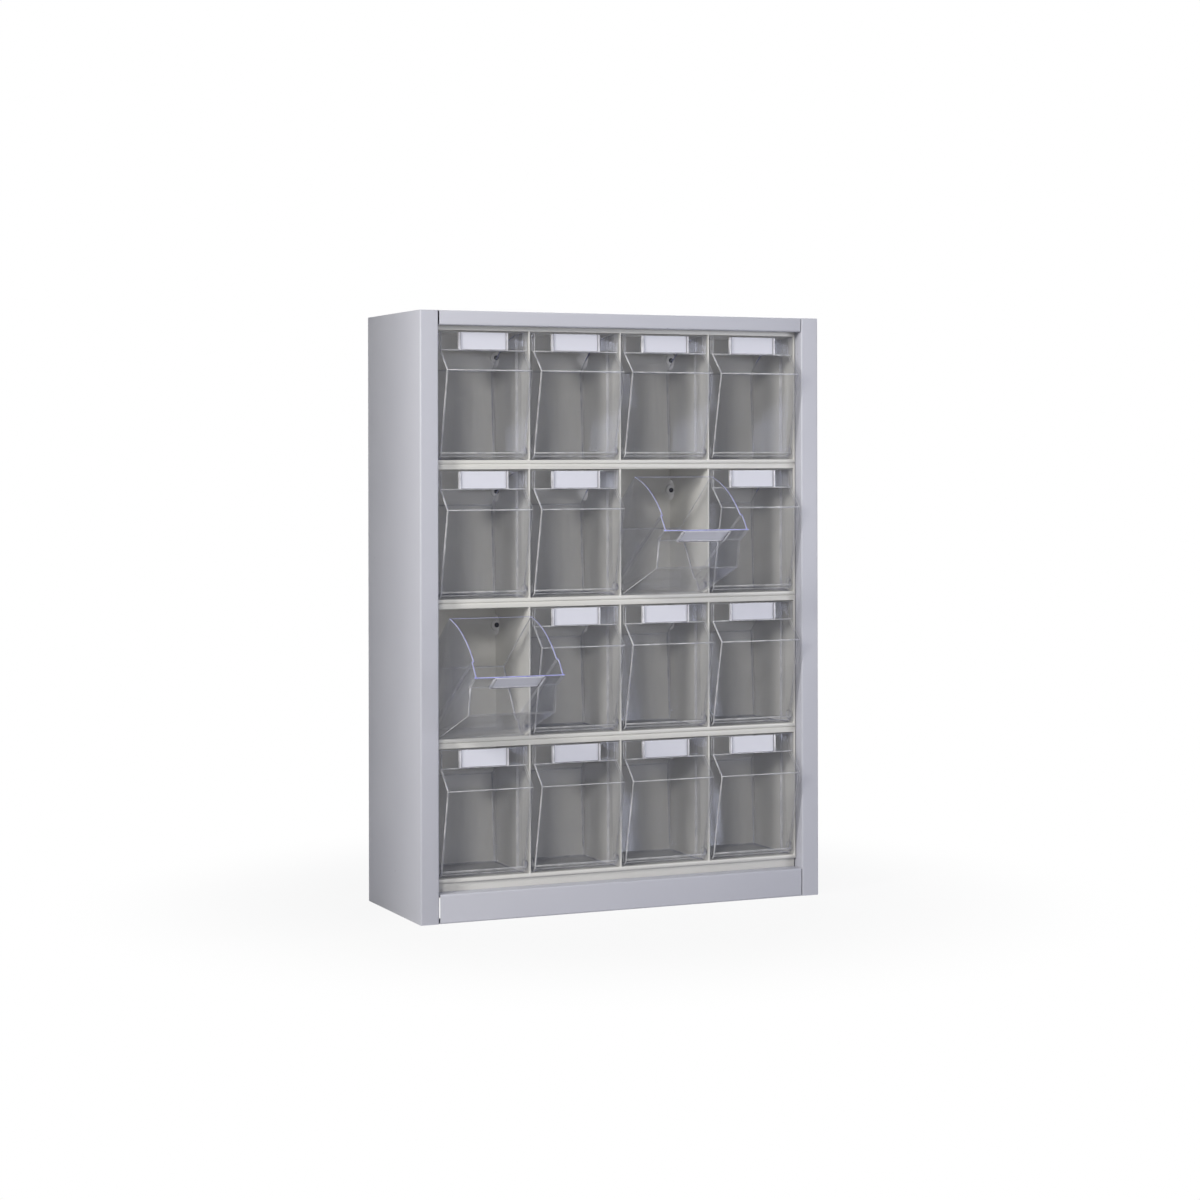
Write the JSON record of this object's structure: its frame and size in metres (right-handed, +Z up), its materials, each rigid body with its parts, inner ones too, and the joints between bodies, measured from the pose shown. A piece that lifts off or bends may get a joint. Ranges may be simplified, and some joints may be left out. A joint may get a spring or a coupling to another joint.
{
  "type": "parts bin cabinet",
  "caption": "Sheet-steel cabinet with stacked strips of clear tilt-out bins that rock forward on moulded pins, each with a label card holder",
  "frame": {"origin": "centre of the case's footprint, on the floor", "axes": "+Z up; -Y the front, towards which the bins tip; +X to the right seen from the front"},
  "size_m": [0.66, 0.3629, 0.9],
  "materials": {
    "coated_steel": "light grey powder coat, fine orange peel, semi-matt",
    "coated_steel_back": "light grey powder coat, semi-matt",
    "ivory_plastic": "injection-moulded off-white polystyrene, satin",
    "clear_plastic": "injection-moulded clear polystyrene, polished",
    "label_card": "blank white card, matt",
    "black_steel": "black oxide screws",
    "rivet_metal": "blind rivets, satin"
  },
  "bodies": {
    "cabinet": {"left_side_panel": "coated_steel", "right_side_panel": "coated_steel", "top_panel": "coated_steel", "base_panel": "coated_steel", "back_panel": "coated_steel_back", "left_upright": "coated_steel_back", "right_upright": "coated_steel_back", "support_rail": "ivory_plastic", "housing_row_1": "ivory_plastic", "housing_row_2": "ivory_plastic", "housing_row_3": "ivory_plastic", "housing_row_4": "ivory_plastic", "strip_screws": "black_steel", "back_rivets": "rivet_metal"},
    "bin_body_r1_c1": {"bin_r1_c1": "clear_plastic", "label_r1_c1": "label_card"},
    "bin_body_r1_c2": {"bin_r1_c2": "clear_plastic", "label_r1_c2": "label_card"},
    "bin_body_r1_c3": {"bin_r1_c3": "clear_plastic", "label_r1_c3": "label_card"},
    "bin_body_r1_c4": {"bin_r1_c4": "clear_plastic", "label_r1_c4": "label_card"},
    "bin_body_r2_c1": {"bin_r2_c1": "clear_plastic", "label_r2_c1": "label_card"},
    "bin_body_r2_c2": {"bin_r2_c2": "clear_plastic", "label_r2_c2": "label_card"},
    "bin_body_r2_c3": {"bin_r2_c3": "clear_plastic", "label_r2_c3": "label_card"},
    "bin_body_r2_c4": {"bin_r2_c4": "clear_plastic", "label_r2_c4": "label_card"},
    "bin_body_r3_c1": {"bin_r3_c1": "clear_plastic", "label_r3_c1": "label_card"},
    "bin_body_r3_c2": {"bin_r3_c2": "clear_plastic", "label_r3_c2": "label_card"},
    "bin_body_r3_c3": {"bin_r3_c3": "clear_plastic", "label_r3_c3": "label_card"},
    "bin_body_r3_c4": {"bin_r3_c4": "clear_plastic", "label_r3_c4": "label_card"},
    "bin_body_r4_c1": {"bin_r4_c1": "clear_plastic", "label_r4_c1": "label_card"},
    "bin_body_r4_c2": {"bin_r4_c2": "clear_plastic", "label_r4_c2": "label_card"},
    "bin_body_r4_c3": {"bin_r4_c3": "clear_plastic", "label_r4_c3": "label_card"},
    "bin_body_r4_c4": {"bin_r4_c4": "clear_plastic", "label_r4_c4": "label_card"}
  },
  "joints": [
    {"name": "tilt_r1_c1", "type": "hinge", "parent": "cabinet", "child": "bin_body_r1_c1", "pos_m": [-0.22387, -0.0887, 0.6929], "axis": [1, 0, 0], "range_deg": [0, 57]},
    {"name": "tilt_r1_c2", "type": "hinge", "parent": "cabinet", "child": "bin_body_r1_c2", "pos_m": [-0.07462, -0.0887, 0.6929], "axis": [1, 0, 0], "range_deg": [0, 57]},
    {"name": "tilt_r1_c3", "type": "hinge", "parent": "cabinet", "child": "bin_body_r1_c3", "pos_m": [0.07462, -0.0887, 0.6929], "axis": [1, 0, 0], "range_deg": [0, 57]},
    {"name": "tilt_r1_c4", "type": "hinge", "parent": "cabinet", "child": "bin_body_r1_c4", "pos_m": [0.22387, -0.0887, 0.6929], "axis": [1, 0, 0], "range_deg": [0, 57]},
    {"name": "tilt_r2_c1", "type": "hinge", "parent": "cabinet", "child": "bin_body_r2_c1", "pos_m": [-0.22387, -0.0887, 0.4869], "axis": [1, 0, 0], "range_deg": [0, 57]},
    {"name": "tilt_r2_c2", "type": "hinge", "parent": "cabinet", "child": "bin_body_r2_c2", "pos_m": [-0.07462, -0.0887, 0.4869], "axis": [1, 0, 0], "range_deg": [0, 57]},
    {"name": "tilt_r2_c3", "type": "hinge", "parent": "cabinet", "child": "bin_body_r2_c3", "pos_m": [0.07462, -0.0887, 0.4869], "axis": [1, 0, 0], "range_deg": [-57, 0]},
    {"name": "tilt_r2_c4", "type": "hinge", "parent": "cabinet", "child": "bin_body_r2_c4", "pos_m": [0.22387, -0.0887, 0.4869], "axis": [1, 0, 0], "range_deg": [0, 57]},
    {"name": "tilt_r3_c1", "type": "hinge", "parent": "cabinet", "child": "bin_body_r3_c1", "pos_m": [-0.22387, -0.0887, 0.2809], "axis": [1, 0, 0], "range_deg": [-57, 0]},
    {"name": "tilt_r3_c2", "type": "hinge", "parent": "cabinet", "child": "bin_body_r3_c2", "pos_m": [-0.07462, -0.0887, 0.2809], "axis": [1, 0, 0], "range_deg": [0, 57]},
    {"name": "tilt_r3_c3", "type": "hinge", "parent": "cabinet", "child": "bin_body_r3_c3", "pos_m": [0.07462, -0.0887, 0.2809], "axis": [1, 0, 0], "range_deg": [0, 57]},
    {"name": "tilt_r3_c4", "type": "hinge", "parent": "cabinet", "child": "bin_body_r3_c4", "pos_m": [0.22387, -0.0887, 0.2809], "axis": [1, 0, 0], "range_deg": [0, 57]},
    {"name": "tilt_r4_c1", "type": "hinge", "parent": "cabinet", "child": "bin_body_r4_c1", "pos_m": [-0.22387, -0.0887, 0.0749], "axis": [1, 0, 0], "range_deg": [0, 57]},
    {"name": "tilt_r4_c2", "type": "hinge", "parent": "cabinet", "child": "bin_body_r4_c2", "pos_m": [-0.07462, -0.0887, 0.0749], "axis": [1, 0, 0], "range_deg": [0, 57]},
    {"name": "tilt_r4_c3", "type": "hinge", "parent": "cabinet", "child": "bin_body_r4_c3", "pos_m": [0.07462, -0.0887, 0.0749], "axis": [1, 0, 0], "range_deg": [0, 57]},
    {"name": "tilt_r4_c4", "type": "hinge", "parent": "cabinet", "child": "bin_body_r4_c4", "pos_m": [0.22387, -0.0887, 0.0749], "axis": [1, 0, 0], "range_deg": [0, 57]}
  ]
}
